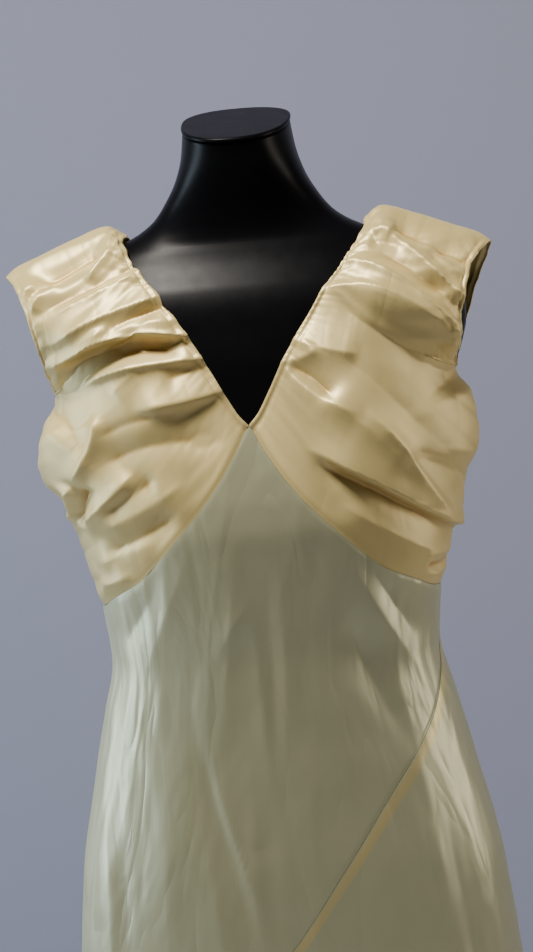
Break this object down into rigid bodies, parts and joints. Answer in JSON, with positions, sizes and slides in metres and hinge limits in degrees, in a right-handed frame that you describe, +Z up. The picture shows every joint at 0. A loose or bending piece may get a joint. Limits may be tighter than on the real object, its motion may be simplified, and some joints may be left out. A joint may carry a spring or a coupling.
{
  "type": "maxi dress on a dress form",
  "caption": "Floor-length satin dress with a V neck, gathered cups, wide straps and a slanted skirt seam, worn by a limbless dress form on a round stand.",
  "frame": {"origin": "centre of the stand base's underside, on the floor", "axes": "+Z up along the pole, front of the dress towards -Y, +X towards the wearer's left"},
  "size_m": [0.6033, 0.4802, 1.5646],
  "materials": {
    "dress_satin": "pale yellow satin, soft sheen",
    "form_black": "black semi-gloss lacquer over a moulded shell",
    "stand_steel": "brushed steel"
  },
  "bodies": {
    "root": {"bodice_front_left": "dress_satin", "bodice_front_right": "dress_satin", "bodice_back_left": "dress_satin", "bodice_back_right": "dress_satin", "skirt_front_upper": "dress_satin", "skirt_front_lower": "dress_satin", "skirt_back": "dress_satin", "form_torso": "form_black", "form_neck_cap": "form_black", "stand_base": "stand_steel", "stand_socket": "stand_steel", "stand_pole": "stand_steel", "stand_collar": "stand_steel"}
  },
  "joints": []
}
